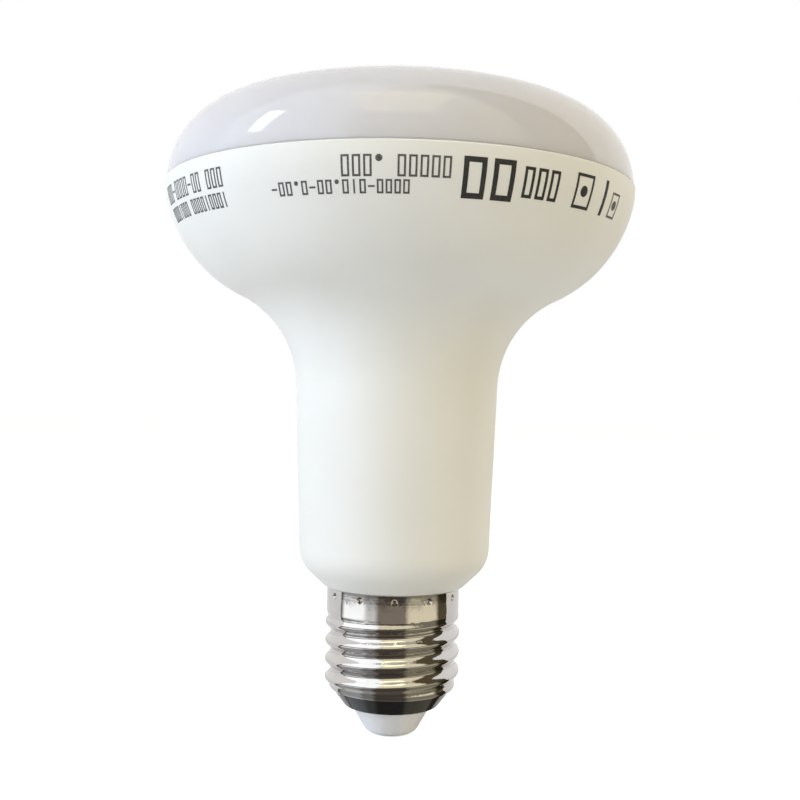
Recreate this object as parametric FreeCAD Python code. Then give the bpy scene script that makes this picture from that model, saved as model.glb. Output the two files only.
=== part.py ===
import FreeCAD
import Part

import math
import os

# A reflector lamp with a screw cap, modelled with the cap down and the dome up.
# Millimetres. Z is the lamp's axis, and Z = 0 is the flat end of the centre contact.
# Every turned piece is drawn as a half outline of (radius, height) points.

# Centre contact: a drawn metal cup with a flat end and a hollow shank
contact_flat_radius = 3.2
contact_corner_radius = 4.7
contact_rim_radius = 7.9
contact_height = 5.6
contact_wall = 0.6
shank_radius = 1.5
shank_bore = 0.7
shank_height = 9.6
shank_bore_floor = 3.0

# Insulator: black glass moulded into the lower end of the shell
insulator_foot_radius = 9.2
insulator_brow_radius = 11.75
insulator_cone_height = 3.35
insulator_edge = 0.5
insulator_inner_height = 3.5
insulator_gap = 0.15
insulator_bore = 2.1
contact_gap = 0.2

# Cap shell: thin rolled sheet with a coarse round thread
shell_wall = 0.3
thread_major_radius = 13.15
thread_minor_radius = 12.1
thread_pitch = 3.629
thread_round = 1.025
thread_phase = 17.9
shell_length = 19.55
collar_radius = 12.9
collar_height = 4.7
foot_radius = 12.3
foot_height = 0.6
foot_round = 0.25
lip_opening = 11.35
run_in = 1.3
run_out = 1.9
rows_per_turn = 12
poles_round = 24

# Stakes: points punched through the collar into the body
stake_count = 12
stake_radius = 0.65
stake_depth = 0.55
stake_drop = 1.15
stake_turn = 2.5
stake_gap = 0.1
stake_wall = 0.2
stake_reach = 0.3

# Body: one moulded shell, a straight drafted neck that flares into the round head
head_radius = 45.0
shoulder_radius = 17.7
shoulder_end = math.radians(15.8)
belly_radius = 25.0
belly_end = math.radians(65.1)
neck_top_radius = 19.6
neck_top_height = 67.7
neck_draft = math.radians(1.9)
neck_corner_round = 6.5
base_radius = 13.75
base_gap = 0.35
base_slope = math.radians(46.6)
body_wall = 1.8
floor_rise = 5.5
floor_bore_rise = 1.7
ledge_radius = 13.6
body_rim_edge = 0.35

# Spigot of the body that the cap shell is pushed on and staked to
spigot_gap = 0.1
spigot_core_radius = 11.3
spigot_bore = 9.8
spigot_tip = 15.5
spigot_step_drop = 4.2
notch_width = 1.6
notch_depth = 0.9
notch_length = 5.5

# Diffuser: a shallow translucent dome with a locating ring below its rim
dome_step = 0.3
dome_shoulder = 15.2
dome_rise = 20.5
dome_wall = 1.6
dome_ring_depth = 3.0
dome_ring_gap = 0.25
dome_edge = 0.3

# Aluminium liner in the body and the plate that closes it
liner_gap = 0.1
liner_wall = 0.8
plate_drop = 9.0
plate_thickness = 1.5
plate_gap = 0.3
plate_hole = 4.0

# LED board, its chips and screws
board_inset = 1.6
board_thickness = 1.0
board_hole = 3.6
chip_length = 3.5
chip_width = 2.8
chip_height = 0.8
inner_ring_radius = 15.0
inner_ring_count = 8
outer_ring_inset = 9.5
outer_ring_count = 16
screw_count = 3
screw_inset = 4.0
screw_shank = 1.2
screw_head = 2.5
screw_head_height = 1.7
screw_length = 5.0
screw_hole_gap = 0.2
screw_slot_length = 2.6
screw_slot_width = 0.6
screw_slot_depth = 0.8
screw_turn = 11.25

# Insulating sleeve round the driver, and its lid
sleeve_gap = 0.3
sleeve_wall = 1.0
sleeve_flange = 1.0
sleeve_mouth = 10.2
rail_thickness = 1.2
rail_reach = 1.8
rail_gap = 0.15
rail_stop = 3.0
lid_thickness = 1.5
lid_ring_depth = 1.5
lid_slot_length = 9.0
lid_slot_width = 3.2

# Driver board, standing in the rails with a tongue down into the cap
driver_thickness = 1.6
driver_side_gap = 0.35
driver_lid_gap = 1.0
tongue_half_width = 8.0
tongue_tip = 20.0
tongue_pad_rise = 4.0

# Driver parts on the front, in rows up the board: place across it, and size
row_foot = 1.2
row_gap = 1.5
row_head = 0.5
bulk_across = -5.6
bulk_radius = 5.0
bulk_length = 14.0
output_across = 5.6
output_radius = 4.0
output_length = 12.0
can_lift = 0.2
can_edge = 0.5
can_groove = 0.45
can_groove_height = 2.2
film_across = -6.2
film_size = (9.0, 5.0, 8.5)
film_edge = 0.8
choke_across = 5.8
choke_radius = 3.6
choke_length = 8.0
choke_flange = 1.4
choke_waist = 2.9
core_size = (13.0, 6.0, 13.0)
core_yoke = 2.0
core_leg = 2.8
bobbin_clearance = 0.1
bobbin_wall = 0.6
bobbin_depth = 11.0
bobbin_flange = 0.8
winding_inset = 0.3
winding_round = 0.8

# Driver parts on the back: place across the board and up from its shoulder, and size
chip_place = (0.0, 19.0)
chip_size = (4.9, 1.5, 3.9)
bridge_place = (-4.5, 4.0)
bridge_size = (4.7, 2.4, 3.9)
diode_place = (4.9, 29.0)
diode_size = (2.6, 2.2, 4.4)
resistor_size = (2.0, 0.55, 1.25)
resistor_places = ((3.5, 4.0), (7.0, 4.0), (-8.0, 12.0), (8.0, 12.0), (-8.0, 19.0), (8.0, 19.0),
                   (-8.0, 26.0), (-4.5, 31.0))
fuse_place = (3.4, 26.5)
fuse_radius = 1.6
fuse_length = 7.0
fuse_cap = 1.2
fuse_waist = 1.4
neutral_across = 5.0

# Leads inside the lamp
lead_radius = 0.45
lead_lift = 0.15
lead_bend = 0.45
led_lead_side = 3.0
led_lead_centre = 1.6
led_lead_pad = 8.0
led_lead_loop = 2.2
led_lead_rise = 4.0
led_lead_overlap = 6.0

axis = FreeCAD.Vector(0, 0, 1)
origin = FreeCAD.Vector(0, 0, 0)

# Heights that follow from the sizes above
lip_height = contact_height + insulator_cone_height
seat_height = lip_height + shell_wall
shell_top = lip_height + shell_length
base_height = shell_top + base_gap
collar_bottom = shell_top - collar_height
foot_top = lip_height + foot_height
insulator_top = seat_height + insulator_inner_height
ledge_height = shell_top + floor_rise

# Arcs of the body's outside: each is tangent to the next, and all share their centres
# with the arcs of the inner faces
throat_radius = (
    (head_radius - shoulder_radius)
    - (belly_radius - shoulder_radius) * math.cos(shoulder_end)
    + belly_radius * math.cos(belly_end)
    - neck_top_radius
) / (math.cos(neck_draft) - math.cos(belly_end))
seam_height = (
    neck_top_height
    + (belly_radius + throat_radius) * math.sin(belly_end)
    - throat_radius * math.sin(neck_draft)
    - (belly_radius - shoulder_radius) * math.sin(shoulder_end)
)
shoulder_centre = (head_radius - shoulder_radius, seam_height)
belly_centre = (
    shoulder_centre[0] - (belly_radius - shoulder_radius) * math.cos(shoulder_end),
    shoulder_centre[1] + (belly_radius - shoulder_radius) * math.sin(shoulder_end),
)
throat_centre = (
    belly_centre[0] + (belly_radius + throat_radius) * math.cos(belly_end),
    belly_centre[1] - (belly_radius + throat_radius) * math.sin(belly_end),
)
dome_radius = head_radius - dome_step
dome_height = seam_height + dome_rise
plate_top = seam_height - plate_drop
board_top = plate_top + board_thickness

# Rows of driver parts, from the board's shoulder up, and what they make the board and the sleeve
first_row = row_foot
second_row = first_row + max(film_size[2], choke_length) + row_gap
core_row = second_row + max(bulk_length, output_length) + row_gap
driver_height = core_row + core_size[2] + row_head
sleeve_height = sleeve_flange + driver_height + driver_lid_gap + lid_ring_depth


def at(radius, height):
    """A point of a half outline."""
    return FreeCAD.Vector(radius, 0, height)


def line(start, end):
    return Part.LineSegment(start, end).toShape()


def arc(centre, radius, first, last):
    """Arc in the outline plane. Angles are measured up from the outward direction."""
    angles = (first, (first + last) / 2, last)
    points = [at(centre[0] + radius * math.cos(a), centre[1] + radius * math.sin(a)) for a in angles]
    return Part.Arc(*points).toShape()


def tangent_corner(before, tip, after, radius):
    """Arc of the given radius that rounds a corner, with its start and its end."""
    arrive = (tip - before).normalize()
    leave = (after - tip).normalize()
    turn = arrive.getAngle(leave)
    reach = radius * math.tan(turn / 2)
    inward = (leave - arrive).normalize()
    start = tip - arrive * reach
    end = tip + leave * reach
    middle = tip + inward * (radius / math.cos(turn / 2) - radius)
    return Part.Arc(start, middle, end).toShape(), start, end


def run(corners):
    """Straight edges through (radius, height) points; a third value rounds that corner."""
    points = [at(corner[0], corner[1]) for corner in corners]
    edges = []
    here = points[0]
    for index in range(1, len(points) - 1):
        tip = points[index]
        if len(corners[index]) == 3:
            bend, start, end = tangent_corner(points[index - 1], tip, points[index + 1], corners[index][2])
            edges.append(line(here, start))
            edges.append(bend)
            here = end
        else:
            edges.append(line(here, tip))
            here = tip
    edges.append(line(here, points[-1]))
    return edges


def turned(edges):
    """Solid of revolution about the lamp's axis from the edges of a closed half outline."""
    wire = Part.Wire(Part.__sortEdges__(edges))
    return Part.Face(wire).revolve(origin, axis, 360)


def turned_run(corners):
    return turned(run(list(corners) + [corners[0]]))


def block(centre, size):
    """Box with its middle at centre[0] and centre[1] and its lower face at centre[2]."""
    corner = FreeCAD.Vector(centre[0] - size[0] / 2, centre[1] - size[1] / 2, centre[2])
    return Part.makeBox(size[0], size[1], size[2], corner)


def rod(radius, length, base):
    return Part.makeCylinder(radius, length, FreeCAD.Vector(*base))


def spun(shape, degrees):
    copy = shape.copy()
    copy.rotate(origin, axis, degrees)
    return copy


def ring_of(shape, count, first=0.0):
    """Copies of a shape evenly spaced about the axis."""
    return [spun(shape, first + index * 360.0 / count) for index in range(count)]


def lead(route):
    """Round lead along straight runs joined by tangent arcs."""
    points = [FreeCAD.Vector(*place) for place in route]
    edges = []
    here = points[0]
    for before, tip, after in zip(points, points[1:], points[2:]):
        turn = (tip - before).getAngle(after - tip)
        reach = lead_bend * min((tip - before).Length, (after - tip).Length)
        bend, start, end = tangent_corner(before, tip, after, reach / math.tan(turn / 2))
        edges.append(line(here, start))
        edges.append(bend)
        here = end
    edges.append(line(here, points[-1]))
    section = Part.Wire(Part.Circle(points[0], points[1] - points[0], lead_radius).toShape())
    return Part.Wire(edges).makePipeShell([section], True, False)


# Places on the body's faces

def neck_radius(height, depth):
    """Radius of the drafted neck at a height, on a face that lies depth under the outside."""
    drop = neck_top_height - height
    return neck_top_radius - drop * math.tan(neck_draft) - depth / math.cos(neck_draft)


def neck_line_top(depth):
    """End of the neck line on a face that lies depth under the outside."""
    radius = neck_top_radius - depth * math.cos(neck_draft)
    return radius, neck_top_height + depth * math.sin(neck_draft)


def belly_angle(height, depth):
    """Angle on the belly arc at which a face that lies depth under the outside has a height."""
    return math.asin((belly_centre[1] - height) / (belly_radius - depth))


def belly_reach(height, depth):
    """Radius of the belly at a height, on a face that lies depth under the outside."""
    return belly_centre[0] + (belly_radius - depth) * math.cos(belly_angle(height, depth))


def shoulder_reach(drop, depth):
    """Radius at a drop below the seam, on a face that lies depth under the outside."""
    return shoulder_centre[0] + math.sqrt((shoulder_radius - depth) ** 2 - drop ** 2)


def belly_and_throat(depth, start_angle):
    """Arcs from an angle on the belly down to the top of the neck."""
    belly = arc(belly_centre, belly_radius - depth, -start_angle, -belly_end)
    throat = arc(throat_centre, throat_radius + depth, math.pi - belly_end, math.pi - neck_draft)
    return [belly, throat]


def shoulder(depth, edge_round=0.0):
    """Arc of the shoulder below the seam, with its top edge rounded if a round is given."""
    radius = shoulder_radius - depth
    if not edge_round:
        return [arc(shoulder_centre, radius, 0, -shoulder_end)]
    start = math.asin(edge_round / (radius - edge_round))
    centre = (shoulder_centre[0] + (radius - edge_round) * math.cos(start), seam_height - edge_round)
    return [arc(centre, edge_round, math.pi / 2, -start), arc(shoulder_centre, radius, -start, -shoulder_end)]


def rim_flat(depth, edge_round):
    """Radius at which the flat of a rounded rim ends."""
    radius = shoulder_radius - depth
    return shoulder_centre[0] + math.sqrt((radius - edge_round) ** 2 - edge_round ** 2)


def base_corner():
    """Where the neck line meets the sloping base, before that corner is rounded."""
    slope = math.tan(base_slope)
    draft = math.tan(neck_draft)
    rise = (neck_radius(base_height, 0) - base_radius) / (slope - draft)
    return base_radius + rise * slope, base_height + rise, neck_corner_round


# Body

def stake(extra, start):
    """Punched point, larger all round by extra, from a depth inside the collar's face to its tip."""
    width = stake_radius + extra
    depth = stake_depth + extra
    mouth = width * (1 - 2 / 3 * start / depth)
    place = FreeCAD.Vector(collar_radius - start, 0, shell_top - stake_drop)
    return Part.makeCone(mouth, width / 3, depth - start, place, FreeCAD.Vector(-1, 0, 0))


def stakes(extra, start):
    return ring_of(stake(extra, start), stake_count, stake_turn)


def housing_body():
    spigot_radius = collar_radius - shell_wall - spigot_gap
    step = shell_top - spigot_step_drop
    outside = run([
        neck_line_top(0),
        base_corner(),
        (base_radius, base_height),
        (spigot_radius, base_height),
        (spigot_radius, step),
        (spigot_core_radius, step),
        (spigot_core_radius, spigot_tip),
        (spigot_bore, spigot_tip),
        (spigot_bore, shell_top + floor_bore_rise),
        (ledge_radius, ledge_height),
        (neck_radius(ledge_height, body_wall), ledge_height),
        neck_line_top(body_wall),
    ])
    rim = line(at(head_radius - body_wall, seam_height), at(rim_flat(0, body_rim_edge), seam_height))
    outer = shoulder(0, body_rim_edge) + belly_and_throat(0, shoulder_end)
    inner = shoulder(body_wall) + belly_and_throat(body_wall, shoulder_end)
    body = turned(outer + outside + inner + [rim])
    notch = block((-spigot_core_radius, 0, spigot_tip), (2 * notch_depth, notch_width, notch_length))
    return body.cut([notch] + stakes(stake_wall + stake_gap, shell_wall / 2))


# Diffuser

def diffuser_dome():
    inset = dome_radius - dome_shoulder
    crown = (inset ** 2 + dome_rise ** 2 - dome_shoulder ** 2) / (2 * (dome_rise - dome_shoulder))
    crown_centre = (0, dome_height - crown)
    middle = (inset, seam_height)
    meet = math.atan2(seam_height - crown_centre[1], inset)
    shelf = math.asin(dome_wall / (dome_shoulder - dome_wall))
    shelf_radius = inset + (dome_shoulder - dome_wall) * math.cos(shelf)
    edge_start = math.asin(dome_edge / (dome_shoulder - dome_edge))
    edge_radius = inset + (dome_shoulder - dome_edge) * math.cos(edge_start)
    ring_outer = shoulder_reach(dome_ring_depth, body_wall) - dome_ring_gap
    ring_inner = ring_outer - dome_wall
    edges = [
        arc(crown_centre, crown, math.pi / 2, meet),
        arc(middle, dome_shoulder, meet, edge_start),
        arc((edge_radius, seam_height + dome_edge), dome_edge, edge_start, -math.pi / 2),
        arc(middle, dome_shoulder - dome_wall, shelf, meet),
        arc(crown_centre, crown - dome_wall, meet, math.pi / 2),
        line(at(0, dome_height - dome_wall), at(0, dome_height)),
    ]
    edges += run([
        (edge_radius, seam_height),
        (ring_outer, seam_height),
        (ring_outer, seam_height - dome_ring_depth),
        (ring_inner, seam_height - dome_ring_depth),
        (ring_inner, seam_height + dome_wall),
        (shelf_radius, seam_height + dome_wall),
    ])
    return turned(edges)


# Cap shell

def smooth_step(value):
    """Rises from 0 to 1 with a flat start and a flat end."""
    value = min(1.0, max(0.0, value))
    return value * value * (3 - 2 * value)


def thread_radius(angle, height):
    """Radius of the rolled thread: tangent arcs at the crest and at the root, right-handed."""
    turns = (height - thread_phase) / thread_pitch - (angle - math.pi) / (2 * math.pi)
    along = abs(turns - round(turns)) * thread_pitch
    if along <= thread_pitch / 4:
        return thread_major_radius - thread_round + math.sqrt(thread_round ** 2 - along ** 2)
    along = thread_pitch / 2 - along
    return thread_minor_radius + thread_round - math.sqrt(thread_round ** 2 - along ** 2)


def shell_radius(angle, height):
    """Outside of the shell: plain foot with a soft end, thread that fades in and out, collar."""
    start = smooth_step((height - foot_top) / run_in)
    stop = smooth_step((collar_bottom - height) / run_out)
    plain = foot_radius + (collar_radius - foot_radius) * smooth_step((height - foot_top) / thread_pitch)
    if height < lip_height + foot_round:
        plain -= foot_round
    return plain + min(start, stop) * (thread_radius(angle, height) - plain)


def rolled_surface(bottom, inset):
    """Smooth closed surface up to the shell's top, inset from its outside. Its seam misses the stakes."""
    rows = round((shell_top - bottom) * rows_per_turn / thread_pitch)
    step = 2 * math.pi / poles_round
    grow = 3 / (2 + math.cos(step))
    seam = math.radians(stake_turn + 180 / stake_count)
    poles = []
    for column in range(poles_round):
        angle = seam + step * column
        upright = []
        for row in range(rows + 1):
            height = bottom + (shell_top - bottom) * row / rows
            radius = (shell_radius(angle, height) - inset) * grow
            upright.append(FreeCAD.Vector(radius * math.cos(angle), radius * math.sin(angle), height))
        poles.append(upright)
    surface = Part.BSplineSurface()
    surface.buildFromPolesMultsKnots(
        poles,
        [1] * (poles_round + 1),
        [4] + [1] * (rows - 3) + [4],
        [float(knot) for knot in range(poles_round + 1)],
        [float(knot) for knot in range(rows - 1)],
        True, False, 3, 3)
    return surface


def flat_ring(outer, inner):
    return Part.Face([Part.Wire(outer.toShape()), Part.Wire(inner.toShape()).reversed()])


def cap_shell():
    """Rolled shell: plain collar, threaded wall, and a foot turned in under the insulator."""
    outside = rolled_surface(lip_height, 0)
    inside = rolled_surface(seat_height, shell_wall)
    outer_first, outer_last = outside.bounds()[2:]
    inner_first, inner_last = inside.bounds()[2:]
    low_mouth = Part.Circle(FreeCAD.Vector(0, 0, lip_height), axis, lip_opening)
    high_mouth = Part.Circle(FreeCAD.Vector(0, 0, seat_height), axis, lip_opening)
    mouth = Part.makeCylinder(lip_opening, shell_wall, FreeCAD.Vector(0, 0, lip_height)).Faces[0]
    skin = Part.makeShell([
        outside.toShape(),
        inside.toShape().reversed(),
        mouth.reversed(),
        flat_ring(outside.vIso(outer_last), inside.vIso(inner_last)),
        flat_ring(outside.vIso(outer_first), low_mouth).reversed(),
        flat_ring(inside.vIso(inner_first), high_mouth),
    ])
    skin.sewShape()
    shell = Part.makeSolid(skin)
    shell = shell.fuse(stakes(stake_wall, shell_wall / 2))
    return shell.cut(stakes(0, -stake_reach))


# Insulator and centre contact

def contact_cone(inset, height):
    """Radius of the contact's cone at a height, on a face inset under its outside."""
    slope = math.atan2(contact_rim_radius - contact_corner_radius, contact_height)
    return contact_corner_radius + height * math.tan(slope) - inset / math.cos(slope)


def cap_insulator():
    """Black glass that fills the end of the shell and reaches down into the contact's cup."""
    hub_inset = contact_wall + contact_gap
    floor = contact_wall + contact_gap
    return turned_run([
        (insulator_bore, insulator_top),
        (thread_minor_radius - shell_wall - insulator_gap, insulator_top),
        (thread_minor_radius - shell_wall - insulator_gap, seat_height),
        (lip_opening - insulator_gap, seat_height),
        (lip_opening - insulator_gap, lip_height),
        (insulator_brow_radius, lip_height),
        (insulator_foot_radius, contact_height, insulator_edge),
        (contact_cone(hub_inset, contact_height), contact_height),
        (contact_cone(hub_inset, floor), floor),
        (insulator_bore, floor),
    ])


def centre_contact():
    """Drawn cup with a flat end, and a hollow shank that takes the live lead."""
    floor_radius = contact_cone(contact_wall, contact_wall)
    corner_reach = contact_corner_radius - contact_flat_radius
    slope = math.atan2(contact_height, contact_rim_radius - contact_corner_radius)
    return turned_run([
        (0, 0),
        (contact_corner_radius, 0, corner_reach / math.tan(slope / 2)),
        (contact_rim_radius, contact_height),
        (contact_cone(contact_wall, contact_height), contact_height),
        (floor_radius, contact_wall),
        (shank_radius, contact_wall),
        (shank_radius, shank_height),
        (shank_bore, shank_height),
        (shank_bore, shank_bore_floor),
        (0, shank_bore_floor),
    ])


# Liner, plate and LED board

def plate_radius():
    return belly_reach(plate_top - plate_thickness, body_wall + liner_gap) - plate_gap


def heat_sink_liner():
    """Spun aluminium liner that follows the inside of the body from its ledge to the plate."""
    rim_height = plate_top - plate_thickness
    edges = []
    rim = []
    foot = []
    for depth in (body_wall + liner_gap, body_wall + liner_gap + liner_wall):
        edges += belly_and_throat(depth, belly_angle(rim_height, depth))
        edges.append(line(at(*neck_line_top(depth)), at(neck_radius(ledge_height, depth), ledge_height)))
        rim.append(at(belly_reach(rim_height, depth), rim_height))
        foot.append(at(neck_radius(ledge_height, depth), ledge_height))
    return turned(edges + [line(*rim), line(*foot)])


def board_radius():
    return plate_radius() - board_inset


def screw_circle():
    return board_radius() - screw_inset


def screw_holes(base, depth):
    hole = rod(screw_shank + screw_hole_gap, depth, (screw_circle(), 0, base))
    return ring_of(hole, screw_count, screw_turn)


def led_plate():
    """Aluminium plate that lies on the liner's rim and carries the LED board."""
    base = plate_top - plate_thickness
    plate = turned_run([
        (plate_hole, base),
        (plate_radius(), base),
        (plate_radius(), plate_top),
        (plate_hole, plate_top),
    ])
    return plate.cut(screw_holes(base, plate_thickness))


def led_board():
    board = turned_run([
        (board_hole, plate_top),
        (board_radius(), plate_top),
        (board_radius(), board_top),
        (board_hole, board_top),
    ])
    return board.cut(screw_holes(plate_top, board_thickness))


def led_chips():
    """Two rings of chips, each lying along its ring."""
    size = (chip_width, chip_length, chip_height)
    inner = block((inner_ring_radius, 0, board_top), size)
    outer = block((board_radius() - outer_ring_inset, 0, board_top), size)
    return Part.makeCompound(ring_of(inner, inner_ring_count) + ring_of(outer, outer_ring_count))


def led_board_screws():
    """Pan-head screws, each with a cross-shaped drive recess."""
    shank = rod(screw_shank, screw_length, (0, 0, board_top - screw_length))
    head = rod(screw_head, screw_head_height, (0, 0, board_top))
    screw = shank.fuse(head).removeSplitter()
    slots = [block((0, 0, board_top + screw_head_height - screw_slot_depth), size)
             for size in ((screw_slot_length, screw_slot_width, screw_head_height),
                          (screw_slot_width, screw_slot_length, screw_head_height))]
    screw = screw.cut(slots)
    screw.translate(FreeCAD.Vector(screw_circle(), 0, 0))
    return Part.makeCompound(ring_of(screw, screw_count, screw_turn))


# Sleeve and lid

def sleeve_radius():
    return neck_radius(ledge_height, body_wall + liner_gap + liner_wall) - sleeve_gap


def sleeve_bore():
    return sleeve_radius() - sleeve_wall


def driver_sleeve():
    """Insulating tube on the body's ledge, with two pairs of rails that hold the board's edges."""
    top = ledge_height + sleeve_height
    bore = sleeve_bore()
    floor = ledge_height + sleeve_flange
    sleeve = turned_run([
        (sleeve_mouth, ledge_height),
        (sleeve_radius(), ledge_height),
        (sleeve_radius(), top),
        (bore, top),
        (bore, floor),
        (sleeve_mouth, floor),
    ])
    length = sleeve_height - sleeve_flange - rail_stop
    offset = driver_thickness / 2 + rail_gap + rail_thickness / 2
    reach = rail_reach + sleeve_wall / 2
    rails = []
    for side in (-1, 1):
        for face in (-1, 1):
            middle = side * (bore - rail_reach + reach / 2)
            rails.append(block((middle, face * offset, floor), (reach, rail_thickness, length)))
    return sleeve.fuse(rails)


def sleeve_lid():
    """Lid with a ring that drops into the sleeve and a slot for the leads."""
    base = ledge_height + sleeve_height
    ring_outer = sleeve_bore() - sleeve_gap
    ring_inner = ring_outer - sleeve_wall
    lid = turned_run([
        (0, base),
        (ring_inner, base),
        (ring_inner, base - lid_ring_depth),
        (ring_outer, base - lid_ring_depth),
        (ring_outer, base),
        (sleeve_radius(), base),
        (sleeve_radius(), base + lid_thickness),
        (0, base + lid_thickness),
    ])
    return lid.cut(block((0, -lead_plane(), base), (lid_slot_length, lid_slot_width, lid_thickness)))


# Driver

def shoulder_of_board():
    return ledge_height + sleeve_flange


def driver_board():
    half = sleeve_bore() - driver_side_gap
    base = shoulder_of_board()
    corners = [
        (-half, base), (-tongue_half_width, base), (-tongue_half_width, tongue_tip),
        (tongue_half_width, tongue_tip), (tongue_half_width, base), (half, base),
        (half, base + driver_height), (-half, base + driver_height), (-half, base),
    ]
    back = -driver_thickness / 2
    outline = Part.makePolygon([FreeCAD.Vector(x, back, z) for x, z in corners])
    return Part.Face(outline).extrude(FreeCAD.Vector(0, driver_thickness, 0))


def on_front(place, depth):
    """Middle and lower end of a part of some depth that lies on the board's front."""
    return place[0], driver_thickness / 2 + depth / 2, shoulder_of_board() + place[1]


def on_back(place, depth):
    return place[0], -driver_thickness / 2 - depth / 2, shoulder_of_board() + place[1]


def turned_upright(corners, place):
    """A turned piece stood at a place beside the lamp's axis."""
    piece = turned_run(corners)
    piece.translate(FreeCAD.Vector(*place))
    return piece


def electrolytic(place, radius, length):
    """Capacitor can with its rolled groove near the sealed end and a domed edge at each end."""
    deep = radius - can_groove
    low = can_groove_height - can_groove
    high = can_groove_height + can_groove
    return turned_upright([
        (0, 0),
        (radius, 0, can_edge),
        (radius, low),
        (deep, can_groove_height),
        (radius, high),
        (radius, length, can_edge),
        (0, length),
    ], on_front(place, 2 * (radius + can_lift)))


def bulk_capacitor():
    return electrolytic((bulk_across, second_row), bulk_radius, bulk_length)


def output_capacitor():
    return electrolytic((output_across, second_row), output_radius, output_length)


def film_capacitor():
    body = block(on_front((film_across, first_row), film_size[1]), film_size)
    upright = [edge for edge in body.Edges if edge.BoundBox.ZLength > film_size[2] / 2]
    return body.makeFillet(film_edge, upright)


def choke_coil():
    """Drum core with its winding, bound into one piece."""
    top = choke_length
    return turned_upright([
        (0, 0),
        (choke_radius, 0),
        (choke_radius, choke_flange),
        (choke_waist, choke_flange),
        (choke_waist, top - choke_flange),
        (choke_radius, top - choke_flange),
        (choke_radius, top),
        (0, top),
    ], on_front((choke_across, first_row), 2 * choke_radius))


def transformer_place(lift):
    """Middle of the transformer at a lift above its lower face, with its spool against the board."""
    return on_front((0, core_row + lift), bobbin_depth)


def window_height():
    return core_size[2] - 2 * core_yoke


def transformer_core():
    """Two E halves joined: a block with a window on each side of the centre leg."""
    width, depth, height = core_size
    window = (width - 2 * core_yoke - core_leg) / 2
    core = block(transformer_place(0), core_size)
    middle = transformer_place(core_yoke)
    windows = []
    for side in (-1, 1):
        centre = (side * (core_leg + window) / 2, middle[1], middle[2])
        windows.append(block(centre, (window, depth, window_height())))
    return core.cut(windows)


def spool_hole():
    """Width and depth of the hole through the spool."""
    return core_leg + 2 * bobbin_clearance, core_size[1] + 2 * bobbin_clearance


def spool_tube():
    """Width and depth of the spool's tube."""
    return tuple(side + 2 * bobbin_wall for side in spool_hole())


def transformer_bobbin():
    """Spool on the centre leg, with a flange at each end of the window."""
    place = transformer_place(core_yoke)
    height = window_height()
    hole = spool_hole() + (height,)
    tube = spool_tube() + (height,)
    flange_width = core_size[0] - 2 * core_yoke - 2 * bobbin_clearance
    flange = (flange_width, bobbin_depth, bobbin_flange)
    top = (place[0], place[1], place[2] + height - bobbin_flange)
    return block(place, tube).fuse([block(place, flange), block(top, flange)]).cut(block(place, hole))


def transformer_winding():
    """Taped winding that fills the spool between its flanges."""
    place = transformer_place(core_yoke + bobbin_flange)
    height = window_height() - 2 * bobbin_flange
    outer = (core_size[0] - 2 * core_yoke - 2 * winding_inset, bobbin_depth - 2 * winding_inset, height)
    winding = block(place, outer)
    upright = [edge for edge in winding.Edges if edge.BoundBox.ZLength > height / 2]
    winding = winding.makeFillet(winding_round, upright)
    return winding.cut(block(place, spool_tube() + (height,)))


def bridge_rectifier():
    return block(on_back(bridge_place, bridge_size[1]), bridge_size)


def driver_chip():
    return block(on_back(chip_place, chip_size[1]), chip_size)


def output_diode():
    return block(on_back(diode_place, diode_size[1]), diode_size)


def board_resistors():
    return Part.makeCompound([block(on_back(place, resistor_size[1]), resistor_size)
                              for place in resistor_places])


def fusible_resistor():
    """Cylinder with thicker end caps, lying on the tongue."""
    return turned_upright([
        (0, 0),
        (fuse_radius, 0),
        (fuse_radius, fuse_cap),
        (fuse_waist, fuse_cap),
        (fuse_waist, fuse_length - fuse_cap),
        (fuse_radius, fuse_length - fuse_cap),
        (fuse_radius, fuse_length),
        (0, fuse_length),
    ], (fuse_place[0], driver_thickness / 2 + fuse_radius, fuse_place[1]))


# Leads

def lead_plane():
    """Distance from the board's middle to a lead that lies on its face."""
    return driver_thickness / 2 + lead_radius + lead_lift


def live_lead():
    """From inside the contact's shank, up through the insulator, to the fusible resistor."""
    face = lead_plane()
    return lead([
        (0, 0, shank_bore_floor + lead_lift),
        (0, 0, insulator_top + lead_radius),
        (fuse_place[0], face, tongue_tip - 2 * lead_radius),
        (fuse_place[0], face, fuse_place[1] - lead_lift),
    ])


def neutral_lead():
    """From the tongue, round the end of the spigot, and up its notch against the shell."""
    face = lead_plane()
    inner = spigot_bore - 2 * lead_radius
    outer = spigot_core_radius - notch_depth / 2 + lead_radius / 2
    turn = (insulator_top + spigot_tip) / 2
    return lead([
        (-neutral_across, face, tongue_tip + tongue_pad_rise),
        (-neutral_across, face, tongue_tip - lead_radius),
        (-inner, 0, spigot_tip + lead_radius),
        (-inner, 0, turn - lead_radius),
        (-outer, 0, turn - lead_radius),
        (-outer, 0, spigot_tip + notch_length - lead_radius),
    ])


def led_lead(side):
    """From the board's back, through the lid, up the lamp's axis, and over to a pad."""
    back = -lead_plane()
    start = shoulder_of_board() + driver_height - led_lead_overlap
    lid_top = ledge_height + sleeve_height + lid_thickness
    loop = board_top + led_lead_loop
    return lead([
        (side * led_lead_side, back, start),
        (side * led_lead_side, back, lid_top + led_lead_rise),
        (side * led_lead_centre, 0, plate_top - plate_thickness - led_lead_rise),
        (side * led_lead_centre, 0, loop),
        (side * (led_lead_pad - led_lead_loop / 2), 0, loop),
        (side * led_lead_pad, 0, board_top + lead_radius + lead_lift),
    ])


def led_lead_positive():
    return led_lead(1)


def led_lead_negative():
    return led_lead(-1)


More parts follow.
